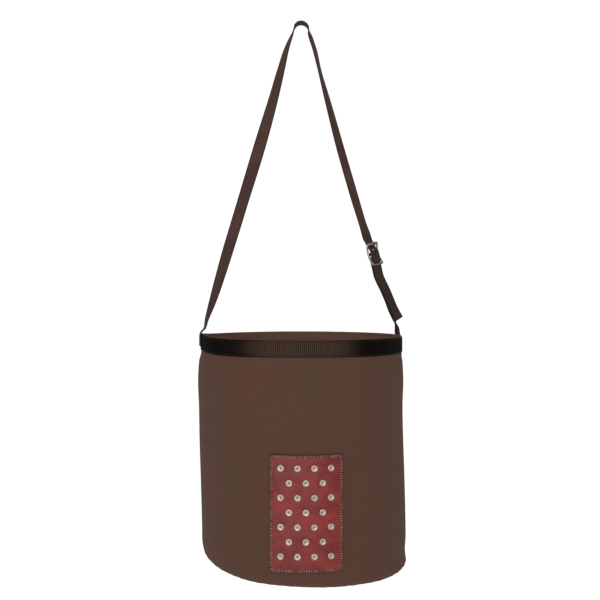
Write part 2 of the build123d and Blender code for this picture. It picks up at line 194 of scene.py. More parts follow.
def make_object(name, points, faces, material=None, uvs=None):
    """A smooth shaded mesh in the scene, or a bare flat one without a material, to cut with."""
    mesh = bpy.data.meshes.new(name)
    mesh.from_pydata([tuple(p) for p in points], [], faces)
    if uvs is not None:
        layer = mesh.uv_layers.new(name="cloth")
        corner = [uvs[f][k] if isinstance(uvs, dict) else uvs[v]
                  for f, face in enumerate(faces) for k, v in enumerate(face)]
        layer.data.foreach_set("uv", np.array(corner, np.float32).ravel())
    if material:
        mesh.materials.append(material)
    mesh.validate()
    mesh.polygons.foreach_set("use_smooth", [material is not None] * len(mesh.polygons))
    made = bpy.data.objects.new(name, mesh)
    bpy.context.scene.collection.objects.link(made)
    return made


def sharp_by_angle(piece, angle):
    piece.data.set_sharp_from_angle(angle=radians(angle))


def fix_normals(piece, sharp=None):
    """Turn every face outwards, then mark the edges sharper than an angle."""
    work = bmesh.new()
    work.from_mesh(piece.data)
    bmesh.ops.recalc_face_normals(work, faces=work.faces)
    work.to_mesh(piece.data)
    work.free()
    if sharp is not None:
        sharp_by_angle(piece, sharp)
    return piece


def grid_faces(rows, cols, wrap_rows, wrap_cols):
    """Quads of a grid, and each quad's unwrapped corners as (row, column)."""
    faces, corners = [], []
    for i in range(rows if wrap_rows else rows - 1):
        for j in range(cols if wrap_cols else cols - 1):
            places = [(i, j), (i, j + 1), (i + 1, j + 1), (i + 1, j)]
            faces.append([(a % rows) * cols + b % cols for a, b in places])
            corners.append(places)
    return faces, corners


def tube_faces(first, rings, sides):
    """Quads and two end caps of a closed tube, whose points start at first."""
    faces, _ = grid_faces(rings, sides, False, True)
    faces.append(list(range(sides))[::-1])
    faces.append(list(range((rings - 1) * sides, rings * sides)))
    return [[first + v for v in face] for face in faces]


def cut(piece, cutter):
    """The piece less the cutter, which is thrown away."""
    modifier = piece.modifiers.new("cut", "BOOLEAN")
    modifier.operation = "DIFFERENCE"
    modifier.solver = "EXACT"
    modifier.object = cutter
    bpy.context.view_layer.update()
    graph = bpy.context.evaluated_depsgraph_get()
    mesh = bpy.data.meshes.new_from_object(piece.evaluated_get(graph))
    piece.modifiers.clear()
    piece.data = mesh
    bpy.data.objects.remove(cutter)
    return piece


# ---------------------------------------------------------------- the bag's shape
def patch_heading(offset):
    return FRONT + degrees(offset / PATCH_R)


def vent_points():
    points = []
    for row, count in enumerate(EYELET_ROWS):
        z = EYELET_TOP_Z - row * EYELET_ROW_PITCH
        for place in range(count):
            along = EYELET_X + (place - (count - 1) / 2) * EYELET_PITCH
            points.append((patch_heading(along), z))
    return points


def off_patch(heading):
    """0 across the vent patch, 1 well to the side of it."""
    return smooth(25.0, 44.0, abs(turn_between(heading, 272.5)))


def soft_noise(heading, z, around, up, seed):
    a = radians(heading)
    return noise.noise(Vector((cos(a) * around, sin(a) * around + seed, z * up)))


def bag_shift(heading, z):
    """How far the hanging canvas stands off its round form: outwards and upwards."""
    clear = off_patch(heading)
    below = MOUTH_Z - z
    lean = -0.0009 + 0.0042 * smooth(0.11, 0.30, below)
    out = lean * cos(radians(heading)) * clear
    swell = SWELL * soft_noise(heading, z, 1.1, 7.0, 3.0)
    swell += FINE_SWELL * soft_noise(heading, z, 2.6, 13.0, 11.0)
    out += swell * smooth(0.03, 0.10, below) * clear
    # soft draws that run down from the two sewn strap ends
    for anchor in (ANCHOR_TURN, 180 + ANCHOR_TURN):
        away = turn_between(heading, anchor)
        fade = bell(away, 17.0) * smooth(0.024, 0.05, below) * (1 - smooth(0.05, 0.17, below))
        out += DRAW * fade * cos(radians(away * 24.0))
    # the wall puckers a little along the bottom seam
    low = smooth(BOTTOM_Z + 0.028, BOTTOM_Z + 0.006, z)
    pucker = sin(radians(heading) * 63) + 0.7 * sin(radians(heading) * 41 + 1.3)
    out += PUCKER * low * pucker
    # the seam's edge stands slightly proud on the right, under a shallow hollow
    right = bell(turn_between(heading, 350.0), 32.0)
    hollow = bell(z - BOTTOM_Z - 0.022, 0.011)
    out += right * (0.0010 * smooth(BOTTOM_Z + 0.014, BOTTOM_Z, z) - 0.0013 * hollow)
    # the lower left corner is tucked in and drawn up
    left = heading % 360.0
    tuck = smooth(150.0, 186.0, left) * (1 - smooth(195.0, 245.0, left))
    drop = min(max((BOTTOM_Z + 0.030 - z) / 0.030, 0.0), 1.0)
    out -= TUCK_IN * tuck * drop ** 2
    start = BOTTOM_Z + 0.023 + 0.040 * clear
    lift = smooth(150.0, 185.0, left) * (1 - smooth(186.0, 290.0, left))
    up = LIFT_UP * lift * smooth(start, BOTTOM_Z, z)
    up += 0.0012 * bell(turn_between(heading, 262.0), 30.0) * smooth(BOTTOM_Z + 0.024, BOTTOM_Z, z)
    # the bottom's right side hangs lower than its front
    side = turn_between(heading, FRONT)
    sag = smooth(-10.0, 85.0, side) * (1 - smooth(100.0, 170.0, side))
    up -= SAG_DOWN * sag * smooth(start + 0.045 * clear, BOTTOM_Z, z)
    # the strap draws the mouth up and in at the left
    pull = bell(turn_between(heading, 190.0), 22.0)
    up += PULL_UP * pull * (1 - smooth(0.02, 0.14, below))
    out -= PULL_IN * pull * (1 - smooth(0.024, 0.040, below))
    # both sides stand out again just under the band
    bulge = smooth(0.026, 0.040, below) * (1 - smooth(0.05, 0.11, below))
    out += BULGE * cos(radians(heading)) ** 2 * bulge
    return out, up


def bag_point(r, heading, z):
    """A point of the hanging bag, from its place on the round form."""
    inside = min(r / FOLD_R, 1.0)
    out, up = bag_shift(heading, z)
    r += out * inside
    z += up * inside ** 2 - 0.0035 * (1 - inside ** 2)
    return round_point(r, heading, z)


def lap_headings():
    middle, half = BACK + LAP_TURN, degrees(LAP_W / 2 / BODY_R)
    return [middle - half - 0.12, middle - half, middle + half, middle + half + 0.12]


def wall_headings():
    even = [k * 1.2 for k in range(300)]
    edges = lap_headings()
    kept = [h for h in even if all(abs(h - e) > 0.35 for e in edges)]
    return sorted(kept + edges)


def on_lap(heading):
    edges = lap_headings()
    return edges[1] - 1e-6 <= heading <= edges[2] + 1e-6


def wall_radius(z):
    return MOUTH_R + (BODY_R - MOUTH_R) * smooth(NECK_Z, SHOULDER_Z, z)


def wall_profile(lapped):
    """Closed outline of the wall as radius, height and how far along the cloth it is."""
    inner = CANVAS_T * (2 if lapped else 1)
    ridge = 0.00045 if lapped else 0.0
    points = []
    for k in range(WALL_STEPS + 1):
        z = MOUTH_Z - (MOUTH_Z - BOTTOM_Z - CORNER_R) * k / WALL_STEPS
        points.append((wall_radius(z) + ridge * smooth(NECK_Z + 0.004, NECK_Z - 0.008, z), z))
    for k in range(1, 9):
        a = pi / 2 * k / 8
        points.append((FOLD_R + CORNER_R * cos(a), BOTTOM_Z + CORNER_R * (1 - sin(a))))
    points += [
        (FOLD_R, BOTTOM_Z + MARGIN_H), (FOLD_R + CANVAS_T, BOTTOM_Z + MARGIN_H),
        (FOLD_R + CANVAS_T, BOTTOM_Z + 2 * CANVAS_T),
        (BODY_R - CANVAS_T - 0.004, BOTTOM_Z + 3 * CANVAS_T),
        (BODY_R - inner, BOTTOM_Z + CORNER_R),
    ]
    climb = MOUTH_Z - HEM_H - 0.0006 - BOTTOM_Z - CORNER_R
    for k in range(1, WALL_STEPS):
        z = BOTTOM_Z + CORNER_R + climb * k / (WALL_STEPS - 1)
        points.append((wall_radius(z) - inner, z))
    hem = MOUTH_R - CANVAS_T - inner
    points += [
        (hem, MOUTH_Z - HEM_H), (hem, MOUTH_Z - HEM_H * 0.7), (hem, MOUTH_Z - HEM_H * 0.35),
        (hem, MOUTH_Z - 0.0012), (hem + 0.0004, MOUTH_Z - 0.0003), (hem + 0.0011, MOUTH_Z),
        (MOUTH_R - 0.0005, MOUTH_Z),
    ]
    return points


def build_wall(material):
    headings = wall_headings()
    plain, lapped = wall_profile(False), wall_profile(True)
    points = []
    for i in range(len(plain)):
        for heading in headings:
            r, z = (lapped if on_lap(heading) else plain)[i]
            points.append(bag_point(r, heading, z))
    faces, corners = grid_faces(len(plain), len(headings), True, True)
    run, around = travelled(plain), headings + [headings[0] + 360.0]
    uvs = {f: [(radians(around[j]) * BODY_R, run[i]) for i, j in places][::-1]
           for f, places in enumerate(corners)}
    wall = make_object("bag_wall", points, [face[::-1] for face in faces], material, uvs)
    sharp_by_angle(wall, 50)
    return cut(wall, vent_pegs(BODY_R, 0.004))


def vent_pegs(distance, reach):
    """Round pegs through every vent, at a distance from the bag's axis."""
    points, faces = [], []
    for heading, z in vent_points():
        centre, side = round_point(distance, heading, z), sideways(heading)
        faces += tube_faces(len(points), 2, PEG_SIDES)
        for end in (-reach, reach):
            for k in range(PEG_SIDES):
                t = 2 * pi * k / PEG_SIDES
                ring = side * EYELET_BED_R * cos(t) + UP * (EYELET_BED_R * sin(t))
                points.append(centre + outward(heading) * end + ring)
    return make_object("vent_pegs", points, faces)


def build_bottom(material):
    """Round bottom panel with its margin turned up inside the wall's margin."""
    edge = FOLD_R - GAP
    inner = edge - CANVAS_T
    profile = [(edge * k / BOTTOM_STEPS, BOTTOM_Z) for k in range(BOTTOM_STEPS + 1)]
    profile += [(edge, BOTTOM_Z + MARGIN_H * 0.5), (edge, BOTTOM_Z + MARGIN_H)]
    profile += [(inner, BOTTOM_Z + MARGIN_H), (inner, BOTTOM_Z + CANVAS_T)]
    profile += [(inner * k / BOTTOM_STEPS, BOTTOM_Z + CANVAS_T)
                for k in range(BOTTOM_STEPS - 1, -1, -1)]
    points = [bag_point(max(r, 0.0004), 360.0 * j / BOTTOM_SIDES, z)
              for r, z in profile for j in range(BOTTOM_SIDES)]
    faces = [face[::-1] for face in tube_faces(0, len(profile), BOTTOM_SIDES)]
    uvs = [(p.x, p.y) for p in points]
    return fix_normals(make_object("bag_bottom", points, faces, material, uvs), 50)


# ---------------------------------------------------------------- band round the mouth
def band_low(heading):
    return BAND_TOP_Z - BAND_H + 0.0014 * bell(turn_between(heading, FRONT), 50.0)


def band_height(heading, share):
    """Height at a share of the way down the band."""
    return BAND_TOP_Z + (band_low(heading) - BAND_TOP_Z) * share


def ribbed(j):
    """How high the ribs stand at the j-th step along the webbing, from 0 to 1."""
    return abs(sin(pi * j / RIB_STEPS)) ** 0.8


def band_points(headings, outer, inner):
    """Points down the band's outer face, then up its inner one."""
    points = []
    for rows, radius in ((BAND_ROWS, outer), (BAND_ROWS[::-1], inner)):
        for share in rows:
            edge = min(share, 1 - share)
            for j, heading in enumerate(headings):
                points.append(bag_point(radius(edge, j), heading, band_height(heading, share)))
    return points


def build_band(material):
    """Webbing round the mouth, with its ribs standing across it."""
    count, rings = RIBS * RIB_STEPS, 2 * len(BAND_ROWS)

    def outer(edge, j):
        r = TOP_BAND_R - RIB_DEPTH * 0.4 + RIB_DEPTH * ribbed(j) * smooth(0.02, 0.10, edge)
        r -= 0.0004 * (1 - smooth(0.0, 0.03, edge))
        return r - 0.00018 * bell(edge - BAND_SEAMS[0], 0.018)

    headings = [360.0 * j / count for j in range(count)]
    points = band_points(headings, outer, lambda edge, j: MOUTH_R + GAP)
    faces, corners = grid_faces(rings, count, True, True)
    uvs = {f: [(TOP_BAND_R * 2 * pi * j / count, -BAND_H * min(i, rings - 1 - i) / len(BAND_ROWS))
               for i, j in places][::-1] for f, places in enumerate(corners)}
    return make_object("mouth_band", points, [face[::-1] for face in faces], material, uvs)


def build_band_lap(material):
    """The band's lapped end, a second ply with a folded edge."""
    count, rings = int(RIBS * RIB_STEPS * BAND_LAP_SPAN / 360), 2 * len(BAND_ROWS)
    base = TOP_BAND_R + RIB_DEPTH * 0.62

    def outer(edge, j):
        end = smooth(0.0, 0.03, min(j, count - j) / count)
        rise = BAND_T * (0.35 + 0.65 * end) + RIB_DEPTH * ribbed(j) * smooth(0.02, 0.1, edge) * end
        return base + rise - (RIB_DEPTH + 0.0004 * (1 - smooth(0.0, 0.03, edge)))

    headings = [BAND_LAP_TURN + BAND_LAP_SPAN * j / count for j in range(count + 1)]
    points = band_points(headings, outer, lambda edge, j: base)
    faces = [face[::-1] for face in grid_faces(rings, count + 1, True, False)[0]]
    for end in (0, count):
        ring = [i * (count + 1) + end for i in range(rings)]
        faces.append(ring if end else ring[::-1])
    uvs = [(TOP_BAND_R * radians(headings[k % (count + 1)]), p.z) for k, p in enumerate(points)]
    return fix_normals(make_object("mouth_band_lap", points, faces, material, uvs))


# ---------------------------------------------------------------- stitches
class Stitches:
    """Many small stitches gathered into one mesh."""

    RINGS = (-0.5, -0.38, -0.12, 0.12, 0.38, 0.5)
    SIDES = 6

    def __init__(self):
        self.points, self.faces = [], []

    def add(self, middle, along, out, length, width, bury=0.35):
        along, out = along.normalized(), out.normalized()
        side = along.cross(out)
        self.faces += tube_faces(len(self.points), len(self.RINGS), self.SIDES)
        for share in self.RINGS:
            arch = 1 - (2 * share) ** 2
            half = width / 2 * (0.55 if abs(share) == 0.5 else 1.0)
            lift = width * (arch * 0.5 - bury)
            centre = middle + along * length * share + out * lift
            for k in range(self.SIDES):
                t = 2 * pi * k / self.SIDES
                self.points.append(centre + side * half * cos(t) + out * half * 0.8 * sin(t))

    def make(self, name, material):
        return fix_normals(make_object(name, self.points, self.faces, material))


def around_stitches(stitches, r, z_of, start, end, stitch, inwards=False):
    """A row of stitches round the bag between two headings."""
    pitch, length, width = stitch
    count = max(1, round(radians(end - start) * r / pitch))
    for k in range(count):
        heading = start + (end - start) * (k + 0.5) / count
        z = z_of(heading)
        middle = bag_point(r, heading, z)
        ahead = bag_point(r, heading + 0.2, z) - middle
        stitches.add(middle, ahead, outward(heading) * (-1 if inwards else 1), length, width)


def build_band_stitches(material):
    """Two rows along the band, outside between its lap and the strap ends, and inside."""
    stitches = Stitches()
    beside = degrees(STRAP_W / 2 / TOP_BAND_R) + 0.8
    for share in BAND_SEAMS:
        z_of = partial(band_height, share=share)
        for start, end in (
            (ANCHOR_TURN + beside, BAND_LAP_TURN - 1),
            (BAND_LAP_TURN + BAND_LAP_SPAN + 1, 180 + ANCHOR_TURN - beside),
            (180 + ANCHOR_TURN + beside, 360 + ANCHOR_TURN - beside),
        ):
            around_stitches(stitches, TOP_BAND_R + HAIR, z_of, start, end, BAND_STITCH)
        around_stitches(stitches, MOUTH_R - 2 * CANVAS_T - HAIR, z_of, 98.0, 98.0 + 350.0,
                        BAND_STITCH_INSIDE, inwards=True)
    return stitches.make("band_stitches", material)


def build_back_seam(material):
    """Two rows down the lap at the back, outside and inside."""
    stitches = Stitches()
    height = NECK_Z - BOTTOM_Z - 0.012
    count = round(height / BACK_STITCH[0])
    edges = lap_headings()
    for heading in (edges[1] + 0.85, edges[2] - 0.85):
        out = outward(heading)
        for k in range(count):
            z = NECK_Z - 0.002 - height * (k + 0.5) / count
            for r, way, (_, length, width) in (
                (wall_radius(z) + 0.00047, out, BACK_STITCH),
                (wall_radius(z) - 2 * CANVAS_T - HAIR, -out, BACK_STITCH_INSIDE),
            ):
                stitches.add(bag_point(r, heading, z), UP, way, length, width, bury=0.15)
    return stitches.make("back_seam_stitches", material)


def build_bottom_seam(material):
    stitches = Stitches()
    around_stitches(stitches, FOLD_R - GAP - CANVAS_T - HAIR, lambda heading: BOTTOM_Z + MARGIN_H / 2,
                    0.0, 360.0, BOTTOM_STITCH, inwards=True)
    return stitches.make("bottom_seam_stitches", material)


# ---------------------------------------------------------------- leather patch
def patch_point(along, up, lift):
    return round_point(PATCH_R + lift, patch_heading(PATCH_X + along), PATCH_TOP_Z - PATCH_H / 2 + up)


def patch_relief(along, up):
    """Height of the leather's face over its flat form: crowned between eyelets, sunk at the seam."""
    edge = min(PATCH_W / 2 - abs(along), PATCH_H / 2 - abs(up))
    rise = -0.0013 * (1 - smooth(-0.0002, 0.0011, edge))
    rise -= 0.00034 * bell(edge - SEAM_IN, 0.0009)
    near = 1.0
    for heading, z in vent_points():
        da = radians(turn_between(heading, patch_heading(PATCH_X + along))) * PATCH_R
        dz = z - (PATCH_TOP_Z - PATCH_H / 2 + up)
        near = min(near, (da * da + dz * dz) ** 0.5)
    crown = smooth(0.0048, 0.0100, near) * smooth(SEAM_IN, 0.009, edge)
    rise += 0.00034 * crown
    rise += 0.00012 * noise.noise(Vector((along * 60, up * 60, 4.0))) * crown
    return rise


def build_patch(material):
    def ticks(half):
        count = int(2 * half / PATCH_STEP)
        inner = [-half + 0.0018 + (2 * half - 0.0036) * k / count for k in range(count + 1)]
        rim = [0.0, 0.0003, 0.0007, 0.0012]
        return [-half + e for e in rim] + inner + [half - e for e in rim[::-1]]

    xs, ys = ticks(PATCH_W / 2), ticks(PATCH_H / 2)
    columns, last, size = len(xs), len(ys) - 1, len(xs) * len(ys)
    points, uvs = [], []
    for front in (True, False):
        for y in ys:
            for x in xs:
                lift = patch_relief(x, y) if front else HAIR - PATCH_T
                points.append(patch_point(*patch_corner(x, y), lift))
                uvs.append((x, y))
    faces, _ = grid_faces(len(ys), columns, False, False)
    back = [[v + size for v in face][::-1] for face in faces]
    ring = list(range(columns))
    ring += [i * columns + columns - 1 for i in range(1, last + 1)]
    ring += [last * columns + j for j in range(columns - 2, -1, -1)]
    ring += [i * columns for i in range(last - 1, 0, -1)]
    sides = [[a, a + size, b + size, b] for a, b in zip(ring, ring[1:] + ring[:1])]
    patch = make_object("vent_leather", points, faces + back + sides, material, uvs)
    return cut(fix_normals(patch, 65), vent_pegs(PATCH_R, 0.005))


def patch_corner(x, y):
    """The leather's corners are slightly rounded."""
    hx, hy, r = PATCH_W / 2, PATCH_H / 2, PATCH_CORNER_R
    ox, oy = abs(x) - (hx - r), abs(y) - (hy - r)
    if ox > 0 and oy > 0:
        far, reach = (ox * ox + oy * oy) ** 0.5, max(ox, oy)
        ox, oy = ox * reach / far, oy * reach / far
        x = (hx - r + ox) * (1 if x > 0 else -1)
        y = (hy - r + oy) * (1 if y > 0 else -1)
    return x, y


def build_patch_stitches(material):
    stitches = Stitches()
    hx, hy = PATCH_W / 2 - SEAM_IN, PATCH_H / 2 - SEAM_IN
    pitch, length, width = PATCH_STITCH

    def place(x, y, across):
        heading = patch_heading(PATCH_X + x)
        along, lean = (UP, sideways(heading)) if across else (sideways(heading), UP)
        along = along + lean * 0.10 * noise.noise(Vector((x * 900, y * 900, 1.0)))
        middle = patch_point(x, y, -0.00010)
        stitches.add(middle, along, outward(heading), length, width, bury=0.2)

    for sign in (-1, 1):
        for half, across in ((hx, True), (hy, False)):
            count = round(2 * half / pitch)
            for k in range(count):
                run = -half + 2 * half * (k + 0.5) / count
                place(*((run, sign * hy) if across else (sign * hx, run)), across)
    return stitches.make("vent_stitches", material)


def eyelet_reach():
    """The eyelet flange's radius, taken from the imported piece."""
    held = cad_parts["vent_eyelets"]
    return max((held.matrix_world @ v.co).z for v in held.data.vertices) - EYELET_TOP_Z


def build_eyelets(material):
    """Pressed eyelets: a rolled flange, a funnel mouth and a short barrel, each set slightly askew."""
    flange, barrel = eyelet_reach(), EYELET_BED_R - 0.0001
    profile = [
        (flange, 0.0), (flange, 0.00022), (flange * 0.96, 0.00046), (flange * 0.88, 0.00066),
        (flange * 0.78, 0.00076), (flange * 0.68, 0.00070), (flange * 0.56, 0.00050),
        (0.00175, 0.00026), (0.00115, -0.00002), (0.00066, -0.00034), (0.00055, -0.0010),
        (0.00055, -0.0035), (barrel, -0.0035), (barrel, 0.0),
    ]
    ring, _ = grid_faces(len(profile), EYELET_SIDES, True, True)
    points, faces = [], []
    for index, (heading, z) in enumerate(vent_points()):
        tilt_side, tilt_up = ASKEW * sin(index * 2.4), ASKEW * cos(index * 1.7 + 0.6)
        axis = (outward(heading) + sideways(heading) * tilt_side + UP * tilt_up).normalized()
        side = UP.cross(axis).normalized()
        rise = axis.cross(side)
        centre = round_point(PATCH_R, heading, z) + axis * 0.00012
        faces += [[len(points) + v for v in face] for face in ring]
        for r, h in profile:
            for k in range(EYELET_SIDES):
                t = 2 * pi * k / EYELET_SIDES
                points.append(centre + axis * h + side * r * cos(t) + rise * r * sin(t))
    return fix_normals(make_object("vent_eyelet_set", points, faces, material), 55)


# ---------------------------------------------------------------- strap
def strap_point(out, depth):
    """A point in the strap's plane, from millimetres out and down."""
    return round_point(out, ANCHOR_TURN, -depth) * MM


def near_edge(heading, along):
    """Unit vector across the webbing towards its near edge."""
    across = -sideways(heading)
    return (across - along * across.dot(along)).normalized()


def direction(middles, k):
    """Unit vector along a path at its k-th point."""
    return (middles[min(k + 1, len(middles) - 1)] - middles[max(k - 1, 0)]).normalized()


def buckle_axes():
    turn, lean = radians(ANCHOR_TURN), radians(BUCKLE_LEAN)
    up = Vector((-sin(lean) * cos(turn), -sin(lean) * sin(turn), cos(lean)))
    across = near_edge(BUCKLE_HEADING, up)
    return strap_point(BUCKLE_OUT, BUCKLE_DEPTH), -across, up, up.cross(across)


def buckle_point(x, y, z):
    origin, right, up, out = buckle_axes()
    return origin + (right * x + up * y + out * z) * MM


def curve_through(values, step):
    """Smooth samples through (point, heading, cup) stations, with even spacing."""
    points = np.array([list(v[0]) + [v[1] * MM, v[2] * MM] for v in values])
    gaps = np.linalg.norm(np.diff(points[:, :3], axis=0), axis=1) ** 0.5
    knots = np.concatenate([[0], np.cumsum(np.maximum(gaps, 1e-6))])
    slopes = np.zeros_like(points)
    for k in range(1, len(points) - 1):
        before = (points[k] - points[k - 1]) / (knots[k] - knots[k - 1])
        after = (points[k + 1] - points[k]) / (knots[k + 1] - knots[k])
        share = (knots[k] - knots[k - 1]) / (knots[k + 1] - knots[k - 1])
        slopes[k] = before * (1 - share) + after * share
    slopes[0] = (points[1] - points[0]) / (knots[1] - knots[0])
    slopes[-1] = (points[-1] - points[-2]) / (knots[-1] - knots[-2])
    samples = []
    for k in range(len(points) - 1):
        gap = knots[k + 1] - knots[k]
        count = max(2, int(gaps[k] ** 2 / step))
        for n in range(count):
            t = n / count
            a = 2 * t ** 3 - 3 * t ** 2 + 1
            b = t ** 3 - 2 * t ** 2 + t
            c = -2 * t ** 3 + 3 * t ** 2
            d = t ** 3 - t ** 2
            start, end = points[k:k + 2]
            samples.append(a * start + b * gap * slopes[k] + c * end + d * gap * slopes[k + 1])
    samples.append(points[-1])
    return samples


def section(width, thickness, plies):
    """Outline across the webbing: flat faces, round edges, and a line where two plies meet."""
    half, t = width / 2, thickness / 2
    r = min(t, 0.0006)
    top = [(-half + r + (width - 2 * r) * k / 12, t) for k in range(13)]
    right = [(half - r * 0.3, t - r * 0.35), (half, t - r)]
    if plies == 2:
        right += [(half, t * 0.16), (half - 0.0005, 0.0), (half, -t * 0.16)]
    right += [(half, -t + r), (half - r * 0.3, -t + r * 0.35)]
    left = [(-x, -y) for x, y in right]
    low = [(-x, -y) for x, y in top]
    return top + right + low + left


def webbing(name, stations, plies, material, lean_end=0.0):
    """A flat strap swept through stations of point, heading and cup."""
    samples = curve_through(stations, STRAP_STEP)
    middles = [Vector(sample[:3]) for sample in samples]
    outline = section(STRAP_W, STRAP_T * plies, plies)
    count, n = len(samples), len(outline)
    points, lengths, run = [], [], 0.0
    for k, here in enumerate(middles):
        along = direction(middles, k)
        across = near_edge(samples[k][3] / MM, along)
        normal = across.cross(along)
        if k:
            run += (here - middles[k - 1]).length
        lengths.append(run)
        cup = samples[k][4] / MM
        for x, y in outline:
            bend = -cup * x * x / (2 * TOP_BAND_R)
            ripple = 0.00012 * noise.noise(Vector((run * 38, x * 60, 2.0)))
            tip = lean_end * x * smooth(count - 7, count - 1, k)
            points.append(here + across * x + normal * (y + bend + ripple) + along * tip)
    faces, corners = tube_faces(0, count, n), grid_faces(count, n, False, True)[1]
    rim = travelled(outline)
    uvs = {f: [(rim[j], lengths[i]) for i, j in places] for f, places in enumerate(corners)}
    for f in (len(corners), len(corners) + 1):
        uvs[f] = [(outline[v % n][0], lengths[v // n] + outline[v % n][1]) for v in faces[f]]
    return fix_normals(make_object(name, points, faces, material, uvs), 60)


def leg(stations, side=1):
    return [(strap_point(side * out, depth), turn, 0.0) for out, depth, turn in stations]


def doubled_stations():
    return [(buckle_point(0, -y, 0), BUCKLE_HEADING, 0.0) for y in DOUBLED_DOWN] + leg(LOWER_LEG)


def end_heading(side):
    """Heading of the strap's sewn end at the left (-1) or the right (1)."""
    return ANCHOR_TURN + (180 if side < 0 else 0)


def sewn_stations(side, plies):
    """The strap's end lies on the outside of the band, curved to it."""
    stations = []
    for z, share in SEWN_STATIONS:
        shift, up = bag_shift(end_heading(side), z)
        if z > BAND_TOP_Z:
            shift -= 0.0022 if side < 0 else 0.0014
        out = SEWN_R + plies * STRAP_T / 2 + shift
        stations.append((strap_point(side * out / MM, -(z + up) / MM), ANCHOR_TURN, side * share))
    return stations


def build_upper_strap(material):
    """The long webbing: up the left, over the crown, through the buckle, to its free end."""
    left = leg(LEFT_LEG, -1) + sewn_stations(-1, 1)
    reach = CROWN_R / MM + STRAP_T / MM / 2
    crown = []
    for step in range(-6, 7):
        angle = radians(68.0 * step / 6)
        crown.append((strap_point(reach * sin(angle), CROWN_R / MM - reach * cos(angle)), 0.0, 0.0))
    threaded = [(buckle_point(0, y, z), BUCKLE_HEADING, 0.0) for y, z in THREADED]
    doubled = doubled_stations()
    middles = [point for point, _, _ in doubled]
    tail = []
    for place, off, turn in TAIL:
        k = place + len(DOUBLED_DOWN)
        along = direction(middles, k)
        out = near_edge(doubled[k][1], along).cross(along)
        tail.append((middles[k] + out * off * MM, turn, 0.0))
    stations = left[::-1] + crown + leg(RIGHT_LEG) + threaded + tail
    return cut(webbing("strap_long", stations, 1, material, lean_end=-0.10), tongue_slot())


def tongue_slot():
    """The slot for the tongue, as a box to cut with."""
    points = [buckle_point(x, y, z) for x in SLOT_XS for y in SLOT_YS for z in SLOT_ZS]
    faces = [[0, 1, 3, 2], [4, 6, 7, 5], [0, 4, 5, 1], [2, 3, 7, 6], [0, 2, 6, 4], [1, 5, 7, 3]]
    return fix_normals(make_object("slot", points, faces))


def build_lower_strap(material):
    return webbing("strap_doubled", doubled_stations() + sewn_stations(1, 2), 2, material)


def build_fold(material):
    """The fold of the doubled strap round the centre bar, in two halves beside the tongue."""
    inner, outer = BAR_R + 0.06, BAR_R + 0.06 + STRAP_T / MM
    near, far = LOOP_SLOT_W / 2, STRAP_W / MM / 2
    turns = [radians(-62 + 304 * k / FOLD_STEPS) for k in range(FOLD_STEPS + 1)]
    n = 2 * len(turns)
    faces_once, _ = grid_faces(4, n, False, True)
    for c in (0, 3):
        faces_once += [[c * n + k, c * n + k + 1, (c + 1) * n - k - 2, (c + 1) * n - k - 1]
                       for k in range(FOLD_STEPS)]
    points, faces = [], []
    for sign in (-1, 1):
        faces += [[len(points) + v for v in face] for face in faces_once]
        for x in (near, near + 0.25, far - 0.3, far):
            rim = outer - (0.22 if x in (near, far) else 0.0)
            for r, way in ((inner, turns), (rim, turns[::-1])):
                points += [buckle_point(sign * x, r * sin(a), r * cos(a)) for a in way]
    uvs = [(p.x, p.z) for p in points]
    return fix_normals(make_object("strap_fold", points, faces, material, uvs), 50)


def build_end_stitches(material):
    """Box-and-cross stitching through each sewn strap end."""
    pitch, length, width = END_STITCH
    half, top, low = END_BOX_HALF, HINGE_Z, END_LOW_Z + END_BOX_RISE
    corners = [(-half, top), (half, top), (half, low), (-half, low), (-half, top)]
    runs = list(zip(corners, corners[1:]))
    runs += [((-half, top), (half, low)), ((-half, low), (half, top))]
    made = []
    for name, side, plies in (("left_end_stitches", -1, 1), ("right_end_stitches", 1, 2)):
        stitches = Stitches()
        r = SEWN_R + plies * STRAP_T + 0.00005
        for (ax, az), (bx, bz) in runs:
            count = max(2, round(((ax - bx) ** 2 + (az - bz) ** 2) ** 0.5 / pitch))
            for k in range(count):
                t = (k + 0.5) / count
                x, z = ax + (bx - ax) * t, az + (bz - az) * t
                heading = end_heading(side) + degrees(x / r)
                shift, up = bag_shift(end_heading(side), z)
                out = outward(heading)
                along = sideways(heading) * (bx - ax) + UP * (bz - az)
                stitches.add(out * (r + shift) + UP * (z + up), along, out, length, width, bury=0.15)
        made.append(stitches.make(name, material))
    return made


def build_fold_stitches(material):
    stitches = Stitches()
    _, right, _, out = buckle_axes()
    for face in (1, -1):
        for row in FOLD_SEAM_ROWS:
            for k in range(FOLD_STITCHES):
                x = -FOLD_SEAM_HALF + 2 * FOLD_SEAM_HALF * (k + 0.5) / FOLD_STITCHES
                middle = buckle_point(x, -row, face * STRAP_T / MM)
                stitches.add(middle, right, out * face, 0.0018, 0.0006, bury=0.15)
    return stitches.make("fold_stitches", material)


